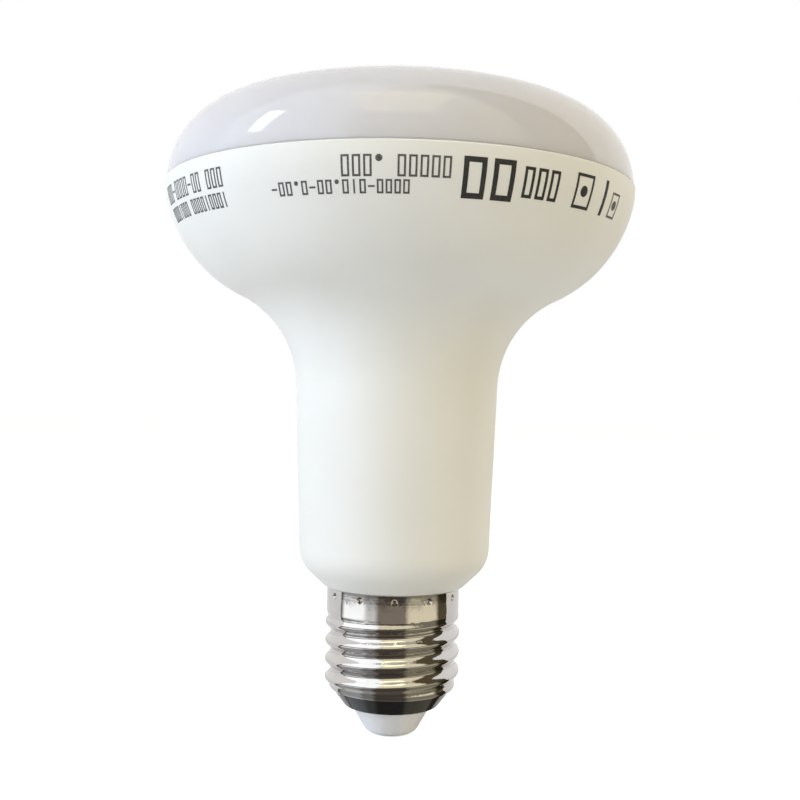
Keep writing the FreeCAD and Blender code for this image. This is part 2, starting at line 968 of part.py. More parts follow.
pieces = [
    diffuser_dome, housing_body, cap_shell, cap_insulator, centre_contact,
    heat_sink_liner, led_plate, led_board, led_chips, led_board_screws,
    driver_sleeve, sleeve_lid, driver_board,
    bulk_capacitor, output_capacitor, film_capacitor, choke_coil,
    transformer_core, transformer_bobbin, transformer_winding,
    bridge_rectifier, driver_chip, output_diode, board_resistors, fusible_resistor,
    live_lead, neutral_lead, led_lead_positive, led_lead_negative,
]

os.makedirs("parts", exist_ok=True)
for piece in pieces:
    shape = piece()
    shape.exportStep("parts/" + piece.__name__ + ".step")
    print(piece.__name__, shape.isValid(), len(shape.Solids), round(shape.Volume, 1))
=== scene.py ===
import math

import bmesh
import bpy
from mathutils import Matrix, Vector
from mathutils.bvhtree import BVHTree


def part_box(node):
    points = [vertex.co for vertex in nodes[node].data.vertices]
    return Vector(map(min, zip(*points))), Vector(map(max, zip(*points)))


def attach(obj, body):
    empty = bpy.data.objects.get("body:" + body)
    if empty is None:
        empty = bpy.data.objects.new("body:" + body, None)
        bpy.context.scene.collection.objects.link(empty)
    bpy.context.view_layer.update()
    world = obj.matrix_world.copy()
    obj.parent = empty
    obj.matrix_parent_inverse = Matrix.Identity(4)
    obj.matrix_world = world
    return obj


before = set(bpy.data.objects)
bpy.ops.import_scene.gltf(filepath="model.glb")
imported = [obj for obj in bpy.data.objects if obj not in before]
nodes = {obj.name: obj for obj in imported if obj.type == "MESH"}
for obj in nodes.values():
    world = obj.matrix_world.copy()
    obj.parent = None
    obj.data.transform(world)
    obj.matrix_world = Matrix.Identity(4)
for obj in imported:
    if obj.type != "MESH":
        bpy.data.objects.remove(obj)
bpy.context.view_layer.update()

# A reflector lamp, cap down, in metres. The lamp's axis is Z and its contact is at Z = 0.
MM = 0.001
scene = bpy.context.scene
scene.view_settings.view_transform = "Standard"

# Camera: place in millimetres, turns in degrees and focal length in pixels of the photograph
PICTURE_WIDTH = 800
CAMERA_PLACE = (3.94, -215.3, 64.67)
CAMERA_YAW = 0.87
CAMERA_PITCH = 0.02
CAMERA_ROLL = -1.07
FOCAL_PIXELS = 1100.2
SENSOR_WIDTH = 36.0
NEAREST_SEEN = 0.01


# Nodes and colours

def colour(hex_code):
    """Linear colour from an sRGB hex code."""
    parts = [int(hex_code[i:i + 2], 16) / 255 for i in (1, 3, 5)]
    linear = [p / 12.92 if p <= 0.04045 else ((p + 0.055) / 1.055) ** 2.4 for p in parts]
    return (*linear, 1.0)


def add(tree, kind, inputs=None, **settings):
    """Adds a node with its settings. An input is a value, or a socket to link from."""
    node = tree.nodes.new(kind)
    for name, value in settings.items():
        setattr(node, name, value)
    for key, value in (inputs or {}).items():
        if isinstance(value, bpy.types.NodeSocket):
            tree.links.new(value, node.inputs[key])
        else:
            node.inputs[key].default_value = value
    return node


def material(name):
    """New material and its empty node tree."""
    made = bpy.data.materials.new(name)
    made.use_nodes = True
    made.node_tree.nodes.clear()
    return made, made.node_tree


def shaded(made, shader):
    """The material, with its shader put on the surface."""
    add(made.node_tree, "ShaderNodeOutputMaterial", {"Surface": shader.outputs[0]})
    return made


def place_on_part(tree):
    """Position on the part in metres, which stays with the mesh."""
    return add(tree, "ShaderNodeTexCoord").outputs["Object"]


def grain(tree, size, detail=2.0, stretch=(1, 1, 1)):
    """Value from 0 to 1 in grains about size metres across, squeezed along an axis where asked."""
    scaled = add(tree, "ShaderNodeMapping", {"Vector": place_on_part(tree), "Scale": stretch})
    noise = add(tree, "ShaderNodeTexNoise",
                {"Vector": scaled.outputs[0], "Scale": 1 / size, "Detail": detail})
    return add(tree, "ShaderNodeMapRange",
               {"Value": noise.outputs["Fac"], "From Min": 0.3, "From Max": 0.7}).outputs[0]


# Materials that show

def moulded_white_pbt():
    """White PBT from a spark-eroded mould: soft sheen, faint grain, no sharp reflection.

    The mould's grain is about 0.05 mm and is drawn at 0.35 mm, so that it shows.
    """
    made, tree = material("moulded_white_pbt")
    flow = grain(tree, 18 * MM, detail=1.0)
    tone = add(tree, "ShaderNodeMix", {0: flow, 6: colour("#EEEFE6"), 7: colour("#F2F3EA")},
               data_type="RGBA")
    sheen = add(tree, "ShaderNodeMapRange", {"Value": grain(tree, 4 * MM), "To Min": 0.38, "To Max": 0.46})
    pits = add(tree, "ShaderNodeBump",
               {"Height": grain(tree, 0.35 * MM, detail=3.0), "Distance": 0.002 * MM})
    return shaded(made, add(tree, "ShaderNodeBsdfPrincipled", {
        "Base Color": tone.outputs[2], "Roughness": sheen.outputs[0], "IOR": 1.55,
        "Normal": pits.outputs[0],
        "Subsurface Weight": 0.12, "Subsurface Scale": 1.0,
        "Subsurface Radius": (1.2 * MM, 1.0 * MM, 0.8 * MM)}))


def opal_polycarbonate():
    """Opal polycarbonate from a polished mould: milky grey, lit through, with a sharp gloss."""
    made, tree = material("opal_polycarbonate")
    cloud = grain(tree, 14 * MM, detail=1.0)
    tone = add(tree, "ShaderNodeMix", {0: cloud, 6: colour("#DADADA"), 7: colour("#DEDEDE")},
               data_type="RGBA")
    gloss = add(tree, "ShaderNodeMapRange", {"Value": grain(tree, 6 * MM), "To Min": 0.04, "To Max": 0.07})
    sink = add(tree, "ShaderNodeBump", {"Height": grain(tree, 9 * MM, detail=0.0), "Distance": 0.003 * MM})
    return shaded(made, add(tree, "ShaderNodeBsdfPrincipled", {
        "Base Color": tone.outputs[2], "Roughness": gloss.outputs[0], "IOR": 1.58,
        "Normal": sink.outputs[0],
        "Subsurface Weight": 0.85, "Subsurface Scale": 1.0,
        "Subsurface Radius": (4.0 * MM, 4.0 * MM, 4.2 * MM)}))


def nickel_plated_brass():
    """Bright nickel plate on rolled brass sheet: a mirror dulled a little by handling, with rolling lines.

    The lines are faint and lie round the shell, 0.4 mm apart. Real ones are finer and wouldn't show.
    """
    made, tree = material("nickel_plated_brass")
    handled = grain(tree, 3 * MM, detail=4.0)
    lines = grain(tree, 1.2 * MM, detail=3.0, stretch=(0.12, 0.12, 3.0))
    tone = add(tree, "ShaderNodeMix", {0: handled, 6: colour("#C9C6C3"), 7: colour("#CFCCC8")},
               data_type="RGBA")
    gloss = add(tree, "ShaderNodeMapRange", {"Value": handled, "To Min": 0.03, "To Max": 0.10})
    rolled = add(tree, "ShaderNodeBump", {"Height": lines, "Distance": 0.0006 * MM})
    return shaded(made, add(tree, "ShaderNodeBsdfPrincipled", {
        "Base Color": tone.outputs[2], "Metallic": 1.0, "Roughness": gloss.outputs[0],
        "Normal": rolled.outputs[0]}))


def black_vitrite_glass():
    """Black glass cast into the cap: deep black and glossy, with a slightly wavy fire-polished face."""
    made, tree = material("black_vitrite_glass")
    tone = add(tree, "ShaderNodeMix", {0: grain(tree, 5 * MM), 6: colour("#0E0F11"), 7: colour("#17191C")},
               data_type="RGBA")
    waves = add(tree, "ShaderNodeBump",
                {"Height": grain(tree, 2.5 * MM, detail=1.0), "Distance": 0.008 * MM})
    return shaded(made, add(tree, "ShaderNodeBsdfPrincipled", {
        "Base Color": tone.outputs[2], "Roughness": 0.14, "IOR": 1.6, "Normal": waves.outputs[0]}))


def tinned_contact():
    """Dip-tinned brass under a matt bloom of oxide: pale grey, with only a little metal sheen left."""
    made, tree = material("tinned_contact")
    bloom = grain(tree, 0.8 * MM, detail=4.0)
    tone = add(tree, "ShaderNodeMix", {0: bloom, 6: colour("#F5F6F6"), 7: colour("#F9FAFA")},
               data_type="RGBA")
    sheen = add(tree, "ShaderNodeMapRange", {"Value": bloom, "To Min": 0.42, "To Max": 0.56})
    dips = add(tree, "ShaderNodeBump", {"Height": grain(tree, 0.4 * MM), "Distance": 0.002 * MM})
    return shaded(made, add(tree, "ShaderNodeBsdfPrincipled", {
        "Base Color": tone.outputs[2], "Metallic": 0.15, "Roughness": sheen.outputs[0],
        "Normal": dips.outputs[0]}))


def pad_print_ink(name, tone, worn):
    """Pad-printing ink, one thin coat on the white plastic: matt, and paler where the coat is thin."""
    made, tree = material(name)
    coat = grain(tree, 0.4 * MM, detail=3.0)
    mixed = add(tree, "ShaderNodeMix", {0: coat, 6: colour(tone), 7: colour(worn)}, data_type="RGBA")
    return shaded(made, add(tree, "ShaderNodeBsdfPrincipled", {
        "Base Color": mixed.outputs[2], "Roughness": 0.55, "IOR": 1.5}))


# Materials inside the lamp

def spun_aluminium():
    """Aluminium spun over a former: bright satin metal with rings round the axis, 0.5 mm apart."""
    made, tree = material("spun_aluminium")
    rings = grain(tree, 0.5 * MM, detail=3.0, stretch=(0.03, 0.03, 1.0))
    tone = add(tree, "ShaderNodeMix", {0: rings, 6: colour("#CDCED0"), 7: colour("#DDDEDF")},
               data_type="RGBA")
    ridges = add(tree, "ShaderNodeBump", {"Height": rings, "Distance": 0.005 * MM})
    return shaded(made, add(tree, "ShaderNodeBsdfPrincipled", {
        "Base Color": tone.outputs[2], "Metallic": 1.0, "Roughness": 0.32, "Normal": ridges.outputs[0]}))


def rolled_aluminium():
    """Aluminium sheet as rolled: even grey metal with straight mill lines along X, 0.4 mm apart."""
    made, tree = material("rolled_aluminium")
    mill = grain(tree, 0.4 * MM, detail=3.0, stretch=(0.02, 1.0, 1.0))
    tone = add(tree, "ShaderNodeMix", {0: mill, 6: colour("#C2C4C6"), 7: colour("#D3D4D6")},
               data_type="RGBA")
    scores = add(tree, "ShaderNodeBump", {"Height": mill, "Distance": 0.002 * MM})
    return shaded(made, add(tree, "ShaderNodeBsdfPrincipled", {
        "Base Color": tone.outputs[2], "Metallic": 1.0, "Roughness": 0.38, "Normal": scores.outputs[0]}))


def solder_mask(name, tone, shade):
    """Cured solder mask over glass cloth: glossy lacquer, with the 0.6 mm weave faintly raised."""
    made, tree = material(name)
    mixed = add(tree, "ShaderNodeMix", {0: grain(tree, 3 * MM), 6: colour(tone), 7: colour(shade)},
                data_type="RGBA")
    cloth = add(tree, "ShaderNodeTexWave",
                {"Vector": place_on_part(tree), "Scale": WAVE_UNIT / CLOTH_PITCH},
                bands_direction="DIAGONAL")
    weave = add(tree, "ShaderNodeBump", {"Height": cloth.outputs["Fac"], "Distance": 0.004 * MM})
    return shaded(made, add(tree, "ShaderNodeBsdfPrincipled", {
        "Base Color": mixed.outputs[2], "Roughness": 0.28, "IOR": 1.5, "Normal": weave.outputs[0]}))


def phosphor_chip():
    """LED package: yellow phosphor gel on top, in a white polymer frame."""
    made, tree = material("phosphor_chip")
    facing = add(tree, "ShaderNodeSeparateXYZ", {0: add(tree, "ShaderNodeNewGeometry").outputs["Normal"]})
    gel = add(tree, "ShaderNodeMapRange", {"Value": facing.outputs["Z"], "From Min": 0.8, "From Max": 0.95})
    tone = add(tree, "ShaderNodeMix", {0: gel.outputs[0], 6: colour("#F2F0E8"), 7: colour("#E8C83A")},
               data_type="RGBA")
    grit = add(tree, "ShaderNodeBump", {"Height": grain(tree, 0.1 * MM), "Distance": 0.002 * MM})
    return shaded(made, add(tree, "ShaderNodeBsdfPrincipled", {
        "Base Color": tone.outputs[2], "Roughness": 0.3, "IOR": 1.45, "Normal": grit.outputs[0]}))


def zinc_plated_steel():
    """Zinc plate on cold-headed steel: bluish grey, half bright, with a fine crystal grain."""
    made, tree = material("zinc_plated_steel")
    tone = add(tree, "ShaderNodeMix", {0: grain(tree, 0.5 * MM), 6: colour("#B7BABE"), 7: colour("#CDCFD2")},
               data_type="RGBA")
    crystals = add(tree, "ShaderNodeBump", {"Height": grain(tree, 0.2 * MM), "Distance": 0.002 * MM})
    return shaded(made, add(tree, "ShaderNodeBsdfPrincipled", {
        "Base Color": tone.outputs[2], "Metallic": 1.0, "Roughness": 0.3, "Normal": crystals.outputs[0]}))


def plain_moulding(name, tone, shade, roughness):
    """Moulded plastic or resin: a fine mould grain of 0.15 mm and a weak flow pattern."""
    made, tree = material(name)
    mixed = add(tree, "ShaderNodeMix", {0: grain(tree, 5 * MM), 6: colour(tone), 7: colour(shade)},
                data_type="RGBA")
    pits = add(tree, "ShaderNodeBump",
               {"Height": grain(tree, 0.15 * MM, detail=3.0), "Distance": 0.002 * MM})
    return shaded(made, add(tree, "ShaderNodeBsdfPrincipled", {
        "Base Color": mixed.outputs[2], "Roughness": roughness, "IOR": 1.5, "Normal": pits.outputs[0]}))


def enamelled_copper():
    """Enamelled copper wire wound close: reddish metal in turns of 0.35 mm, with painted shade between them.
    """
    made, tree = material("enamelled_copper")
    turns = add(tree, "ShaderNodeTexWave",
                {"Vector": place_on_part(tree), "Scale": WAVE_UNIT / COPPER_PITCH}, bands_direction="Z")
    # Dark brown in the grooves between the turns and copper on their crowns: painted shade
    tone = add(tree, "ShaderNodeMix", {0: turns.outputs["Fac"], 6: colour("#5A2A12"), 7: colour("#C4713A")},
               data_type="RGBA")
    round_wire = add(tree, "ShaderNodeBump", {"Height": turns.outputs["Fac"], "Distance": COPPER_PITCH / 4})
    return shaded(made, add(tree, "ShaderNodeBsdfPrincipled", {
        "Base Color": tone.outputs[2], "Metallic": 1.0, "Roughness": 0.3, "Normal": round_wire.outputs[0]}))


def polyester_tape():
    """Yellow polyester tape round the winding: thin glossy film over the turns, 0.4 mm apart, with painted
    shade in the grooves.
    """
    made, tree = material("polyester_tape")
    turns = add(tree, "ShaderNodeTexWave",
                {"Vector": place_on_part(tree), "Scale": WAVE_UNIT / TAPED_PITCH}, bands_direction="Z")
    # Deeper yellow in the grooves between the turns and paler on the ridges: painted shade
    tone = add(tree, "ShaderNodeMix", {0: turns.outputs["Fac"], 6: colour("#C9A21E"), 7: colour("#DDB72E")},
               data_type="RGBA")
    ridges = add(tree, "ShaderNodeBump", {"Height": turns.outputs["Fac"], "Distance": 0.03 * MM})
    return shaded(made, add(tree, "ShaderNodeBsdfPrincipled", {
        "Base Color": tone.outputs[2], "Roughness": 0.22, "IOR": 1.57, "Normal": ridges.outputs[0]}))


def shrink_sleeve(node):
    """PET sleeve shrunk on a capacitor can: dark and glossy, with a pale stripe down one side."""
    low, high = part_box(node)
    made, tree = material("shrink_sleeve_" + node)
    centre = [(a + b) / 2 for a, b in zip(low, high)]
    local = add(tree, "ShaderNodeVectorMath", {0: place_on_part(tree), 1: centre}, operation="SUBTRACT")
    sides = add(tree, "ShaderNodeSeparateXYZ", {0: local.outputs[0]})
    bearing = add(tree, "ShaderNodeMath",
                  {0: sides.outputs["X"], 1: sides.outputs["Y"]}, operation="ARCTAN2")
    stripe = add(tree, "ShaderNodeMath", {0: bearing.outputs[0], 1: STRIPE_BEARING, 2: STRIPE_HALF},
                 operation="COMPARE")
    tone = add(tree, "ShaderNodeMix", {0: stripe.outputs[0], 6: colour("#16181F"), 7: colour("#A9ADB4")},
               data_type="RGBA")
    creases = add(tree, "ShaderNodeBump", {"Height": grain(tree, 1.5 * MM), "Distance": 0.005 * MM})
    return shaded(made, add(tree, "ShaderNodeBsdfPrincipled", {
        "Base Color": tone.outputs[2], "Roughness": 0.25, "IOR": 1.57, "Normal": creases.outputs[0]}))


def lacquered_resistor():
    """Pale blue lacquer on a ceramic rod, with coloured rings round it."""
    low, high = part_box("fusible_resistor")
    made, tree = material("lacquered_resistor")
    height = add(tree, "ShaderNodeSeparateXYZ", {0: place_on_part(tree)})
    share = add(tree, "ShaderNodeMapRange",
                {"Value": height.outputs["Z"], "From Min": low[2], "From Max": high[2]})
    rings = add(tree, "ShaderNodeValToRGB", {"Fac": share.outputs[0]})
    rings.color_ramp.interpolation = "CONSTANT"
    rings.color_ramp.elements.remove(rings.color_ramp.elements[1])
    rings.color_ramp.elements[0].color = colour("#5E87A0")
    for start, tone in RESISTOR_RINGS:
        rings.color_ramp.elements.new(start).color = colour(tone)
    drips = add(tree, "ShaderNodeBump", {"Height": grain(tree, 0.5 * MM), "Distance": 0.003 * MM})
    return shaded(made, add(tree, "ShaderNodeBsdfPrincipled", {
        "Base Color": rings.outputs["Color"], "Roughness": 0.35, "IOR": 1.5, "Normal": drips.outputs[0]}))


def insulated_wire(name, tone, shade):
    """Extruded silicone insulation: smooth with a soft sheen, and lightly drawn along its length."""
    made, tree = material(name)
    drawn = grain(tree, 0.3 * MM, stretch=(1.0, 1.0, 0.1))
    mixed = add(tree, "ShaderNodeMix", {0: drawn, 6: colour(tone), 7: colour(shade)}, data_type="RGBA")
    skin = add(tree, "ShaderNodeBump", {"Height": drawn, "Distance": 0.002 * MM})
    return shaded(made, add(tree, "ShaderNodeBsdfPrincipled", {
        "Base Color": mixed.outputs[2], "Roughness": 0.5, "IOR": 1.43, "Normal": skin.outputs[0]}))


# A wave texture draws one band per metre at this scale
WAVE_UNIT = math.tau / 20
CLOTH_PITCH = 0.6 * MM
COPPER_PITCH = 0.35 * MM
TAPED_PITCH = 0.4 * MM
STRIPE_BEARING = 0.5
STRIPE_HALF = 0.35
RESISTOR_RINGS = ((0.26, "#B08A2E"), (0.34, "#5E87A0"), (0.44, "#2A2A2C"), (0.52, "#5E87A0"),
                  (0.62, "#8C2F22"), (0.70, "#5E87A0"))


# Print: plain outlines, bars and dots in one coat of ink, just under the seam

def body_skin():
    """Search tree of the body's faces."""
    mesh = nodes["housing_body"].data
    return BVHTree.FromPolygons([v.co for v in mesh.vertices], [p.vertices for p in mesh.polygons])


def bar(across, up, width, height):
    """Faces of an upright bar as corners in the plane of the print, cut fine enough to bend."""
    cuts = max(1, math.ceil(width / PRINT_STEP))
    rows = max(1, math.ceil(height / PRINT_STEP))
    faces = []
    for i in range(cuts):
        for j in range(rows):
            left, right = (across + width * (k / cuts - 0.5) for k in (i, i + 1))
            low, high = (up + height * (k / rows - 0.5) for k in (j, j + 1))
            faces.append([(left, low), (right, low), (right, high), (left, high)])
    return faces


def dot(across, up, radius):
    """Faces of a filled round in the plane of the print."""
    spokes = [(math.cos(math.tau * k / PRINT_SPOKES), math.sin(math.tau * k / PRINT_SPOKES))
              for k in range(PRINT_SPOKES + 1)]
    radii = [radius * k / PRINT_RINGS for k in range(PRINT_RINGS + 1)]
    faces = []
    for (c0, s0), (c1, s1) in zip(spokes, spokes[1:]):
        for near, far in zip(radii, radii[1:]):
            corners = [(near * c0, near * s0), (far * c0, far * s0),
                       (far * c1, far * s1), (near * c1, near * s1)]
            faces.append([(across + x, up + y) for x, y in corners])
    return faces


def outline(across, up, width, height, line):
    """Faces of an upright rectangle drawn as a line."""
    side = (width - line) / 2
    rise = (height - line) / 2
    inside = height - 2 * line
    return (bar(across, up + rise, width, line) + bar(across, up - rise, width, line)
            + bar(across - side, up, line, inside) + bar(across + side, up, line, inside))


def row(pattern, left, up, pitch, height, line):
    """Row of plain marks: # is an outline, - a dash, | a stroke, . a raised dot and a space nothing."""
    width = pitch * MARK_SHARE
    faces = []
    for place, mark in enumerate(pattern):
        across = left + (place + 0.5) * pitch
        if mark == "#":
            faces += outline(across, up, width, height, line)
        elif mark == "-":
            faces += bar(across, up, width, line)
        elif mark == "|":
            faces += bar(across, up, line, height)
        elif mark == ".":
            faces += dot(across, up + height / 3, height / 6)
    return faces


def printed(name, faces, ink):
    """Ink pads laid on the body: closed, as thick as a coat, and following its curve."""
    shape = bmesh.new()
    for corners in faces:
        shape.faces.new([shape.verts.new((x, y, 0)) for x, y in corners])
    bmesh.ops.remove_doubles(shape, verts=shape.verts, dist=PRINT_WELD)
    grown = bmesh.ops.extrude_face_region(shape, geom=shape.faces[:], use_keep_orig=True)
    raised = {item for item in grown["geom"] if isinstance(item, bmesh.types.BMVert)}
    bmesh.ops.recalc_face_normals(shape, faces=shape.faces)
    skin = body_skin()
    for point in shape.verts:
        out = toward(math.degrees(point.co.x / PRINT_RADIUS), 0)
        start = out * PRINT_REACH + Vector((0, 0, PRINT_HEIGHT + point.co.y))
        hit, normal, _, _ = skin.ray_cast(start, -out)
        point.co = hit + normal * (INK_PROUD if point in raised else -INK_SUNK)
    bmesh.ops.recalc_face_normals(shape, faces=shape.faces)
    mesh = bpy.data.meshes.new(name)
    shape.to_mesh(mesh)
    shape.free()
    mesh.materials.append(ink)
    made = bpy.data.objects.new(name, mesh)
    scene.collection.objects.link(made)
    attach(made, "root")


def fine_print():
    """Thin grey marks: rows in front and at the left, and a framed dot at the right."""
    faces = []
    for pattern, *measures in FINE_ROWS:
        faces += row(pattern, *(measure * MM for measure in measures))
    faces += outline(45.3 * MM, -0.9 * MM, 3.2 * MM, 4.2 * MM, 0.35 * MM)
    faces += dot(45.3 * MM, -0.9 * MM, 0.8 * MM)
    printed("fine_print", faces, pad_print_ink("grey_pad_print_ink", "#444341", "#6A6866"))


def bold_print():
    """Thick black marks to the right of the front."""
    faces = outline(12.5 * MM, -0.3 * MM, 3.8 * MM, 6.3 * MM, 0.85 * MM)
    faces += outline(17.5 * MM, -0.3 * MM, 3.8 * MM, 6.3 * MM, 0.85 * MM)
    faces += row("###", 20.8 * MM, -0.2 * MM, 2.6 * MM, 4.8 * MM, 0.5 * MM)
    faces += outline(34.5 * MM, -0.1 * MM, 4.6 * MM, 5.6 * MM, 0.5 * MM)
    faces += dot(34.5 * MM, -0.1 * MM, 0.9 * MM)
    faces += bar(41.0 * MM, -0.2 * MM, 0.85 * MM, 5.8 * MM)
    printed("bold_print", faces, pad_print_ink("black_pad_print_ink", "#232323", "#3A3A3A"))


PRINT_RADIUS = 44.0 * MM
PRINT_HEIGHT = 100.2 * MM
PRINT_REACH = 60.0 * MM
PRINT_STEP = 0.5 * MM
PRINT_SPOKES = 40
PRINT_RINGS = 4
PRINT_WELD = 0.001 * MM
INK_PROUD = 0.03 * MM
INK_SUNK = 0.05 * MM
MARK_SHARE = 0.74
# Rows of marks: pattern, then left end, height, pitch, mark height and line width, in millimetres
FINE_ROWS = (("###. #####", -8.8, 1.0, 1.77, 3.3, 0.32),
             ("-##.#-##.#|#-####", -21.2, -2.1, 1.39, 2.1, 0.28),
             ("###-####-## ###", -55.1, 1.0, 1.6, 3.2, 0.32),
             ("####|### ####|###|", -54.5, -2.6, 1.3, 2.4, 0.30))


# Studio

def room_light():
    """Even pale light from all round, warm low down and white to the camera."""
    world = bpy.data.worlds.new("studio")
    scene.world = world
    world.use_nodes = True
    tree = world.node_tree
    tree.nodes.clear()
    path = add(tree, "ShaderNodeLightPath")
    way = add(tree, "ShaderNodeSeparateXYZ", {0: add(tree, "ShaderNodeTexCoord").outputs["Generated"]})
    rise = way.outputs["Z"]
    level = add(tree, "ShaderNodeMapRange",
                {"Value": rise, "To Min": ROOM_LEVEL[0], "To Max": ROOM_LEVEL[1]})
    cool = add(tree, "ShaderNodeMapRange", {"Value": rise, "From Min": 0.2, "From Max": 1.0})
    tone = add(tree, "ShaderNodeMix", {0: cool.outputs[0], 6: colour("#FFEBC6"), 7: colour("#FCF4E8")},
               data_type="RGBA")
    soft = add(tree, "ShaderNodeBackground", {"Color": tone.outputs[2], "Strength": level.outputs[0]})
    plain = add(tree, "ShaderNodeBackground", {"Color": colour("#FFFFFF"), "Strength": 1.0})
    seen = add(tree, "ShaderNodeMath", {0: path.outputs["Is Camera Ray"], 1: path.outputs["Is Glossy Ray"]},
               operation="MAXIMUM")
    seen = add(tree, "ShaderNodeMath", {0: seen.outputs[0], 1: path.outputs["Is Transmission Ray"]},
               operation="MAXIMUM")
    chosen = add(tree, "ShaderNodeMixShader", {0: seen.outputs[0], 1: soft.outputs[0], 2: plain.outputs[0]})
    add(tree, "ShaderNodeOutputWorld", {"Surface": chosen.outputs[0]})


def make_camera():
    """Camera with the viewpoint and lens of the photograph."""
    yaw = Matrix.Rotation(math.radians(CAMERA_YAW), 3, "Z")
    pitch = Matrix.Rotation(math.radians(CAMERA_PITCH), 3, "X")
    roll = Matrix.Rotation(math.radians(CAMERA_ROLL), 3, "Y")
    level = Matrix.Rotation(math.pi / 2, 3, "X")
    camera = bpy.data.objects.new("camera", bpy.data.cameras.new("camera"))
    turned = (yaw @ pitch @ roll @ level).to_4x4()
    camera.matrix_world = Matrix.Translation(Vector(CAMERA_PLACE) * MM) @ turned
    camera.data.sensor_width = SENSOR_WIDTH
    camera.data.lens = FOCAL_PIXELS * SENSOR_WIDTH / PICTURE_WIDTH
    camera.data.clip_start = NEAREST_SEEN
    scene.collection.objects.link(camera)
    scene.camera = camera


def toward(azimuth, elevation):
    """Direction from the part, with azimuth 0 in front and 90 to the right, in degrees."""
    turn = math.radians(azimuth)
    rise = math.radians(elevation)
    return Vector((math.sin(turn) * math.cos(rise), -math.cos(turn) * math.cos(rise), math.sin(rise)))


def softbox(name, azimuth, elevation, size, brightness, tone, mirrored=False):
    """Rectangular lamp that faces the middle of the part. Brightness 1 looks white in a mirror."""
    away = toward(azimuth, elevation)
    lamp = bpy.data.lights.new(name, "AREA")
    lamp.shape = "RECTANGLE"
    lamp.size, lamp.size_y = size
    lamp.energy = brightness * math.pi * size[0] * size[1]
    lamp.color = colour(tone)[:3]
    body = bpy.data.objects.new(name, lamp)
    body.location = LAMP_TARGET + away * LAMP_DISTANCE
    body.rotation_euler = (-away).to_track_quat("-Z", "Y").to_euler()
    body.visible_glossy = mirrored
    scene.collection.objects.link(body)


def link_mesh(name, corners, faces, finish):
    """New object from corners and faces, in one material."""
    mesh = bpy.data.meshes.new(name)
    mesh.from_pydata(corners, [], faces)
    mesh.materials.append(finish)
    made = bpy.data.objects.new(name, mesh)
    scene.collection.objects.link(made)
    return made


def only_in_gloss(card):
    """A card that reflections show and nothing else does."""
    card.visible_camera = False
    card.visible_diffuse = False
    card.visible_shadow = False
    card.visible_transmission = False


def pale_floor():
    """Matt pale floor that shows white and keeps the part's shadow. From below it is clear."""
    made, tree = material("pale_floor")
    path = add(tree, "ShaderNodeLightPath")
    matt = add(tree, "ShaderNodeBsdfDiffuse", {"Color": colour("#DCDEE2")})
    white = add(tree, "ShaderNodeEmission", {"Color": colour("#FFFFFF"), "Strength": FLOOR_TO_CAMERA})
    pale = add(tree, "ShaderNodeEmission", {"Color": colour("#FFFFFF"), "Strength": FLOOR_IN_GLOSS})
    seen = add(tree, "ShaderNodeAddShader", {0: matt.outputs[0], 1: white.outputs[0]})
    mirrored = add(tree, "ShaderNodeAddShader", {0: matt.outputs[0], 1: pale.outputs[0]})
    in_gloss = add(tree, "ShaderNodeMixShader",
                   {0: path.outputs["Is Glossy Ray"], 1: matt.outputs[0], 2: mirrored.outputs[0]})
    above = add(tree, "ShaderNodeMixShader",
                {0: path.outputs["Is Camera Ray"], 1: in_gloss.outputs[0], 2: seen.outputs[0]})
    side = add(tree, "ShaderNodeNewGeometry").outputs["Backfacing"]
    clear = add(tree, "ShaderNodeBsdfTransparent")
    one_sided = add(tree, "ShaderNodeMixShader", {0: side, 1: above.outputs[0], 2: clear.outputs[0]})
    return shaded(made, one_sided)


def make_floor():
    """Square floor just under the contact."""
    half = FLOOR_SIZE / 2
    corners = [(-half, -half, FLOOR_DROP), (half, -half, FLOOR_DROP), (half, half, FLOOR_DROP),
               (-half, half, FLOOR_DROP)]
    link_mesh("floor", corners, [(0, 1, 2, 3)], pale_floor())


def sectors(tree, tones):
    """Plain colours round the part, each from its azimuth on, with soft edges between them."""
    sides = add(tree, "ShaderNodeSeparateXYZ", {0: place_on_part(tree)})
    front = add(tree, "ShaderNodeMath", {0: sides.outputs["Y"], 1: -1.0}, operation="MULTIPLY")
    bearing = add(tree, "ShaderNodeMath", {0: sides.outputs["X"], 1: front.outputs[0]}, operation="ARCTAN2")
    share = add(tree, "ShaderNodeMapRange",
                {"Value": bearing.outputs[0], "From Min": -math.pi, "From Max": math.pi})
    ramp = add(tree, "ShaderNodeValToRGB", {"Fac": share.outputs[0]})
    steps = ramp.color_ramp.elements
    steps.remove(steps[1])
    steps[0].color = colour(tones[0][1])
    for (_, before), (degrees, after) in zip(tones, tones[1:]):
        steps.new(0.5 + (degrees - SIDE_SOFTNESS) / 360).color = colour(before)
        steps.new(0.5 + (degrees + SIDE_SOFTNESS) / 360).color = colour(after)
    return ramp.outputs["Color"]


def floor_shadow_and_edge(tree):
    """How light the room's floor is from the foot out: a painted shadow of the part near it, and darker past
    an edge.
    """
    reach = add(tree, "ShaderNodeVectorMath", {0: place_on_part(tree)}, operation="LENGTH")
    share = add(tree, "ShaderNodeMapRange", {"Value": reach.outputs["Value"], "From Max": SHADE_REACH})
    ramp = add(tree, "ShaderNodeValToRGB", {"Fac": share.outputs[0]})
    steps = ramp.color_ramp.elements
    steps.remove(steps[1])
    steps[0].color = (FOOT_SHADOW, FOOT_SHADOW, FOOT_SHADOW, 1)
    for distance, shade in FLOOR_SHADOW_AND_EDGE:
        steps.new(distance / SHADE_REACH).color = (shade, shade, shade, 1)
    return ramp.outputs["Color"]


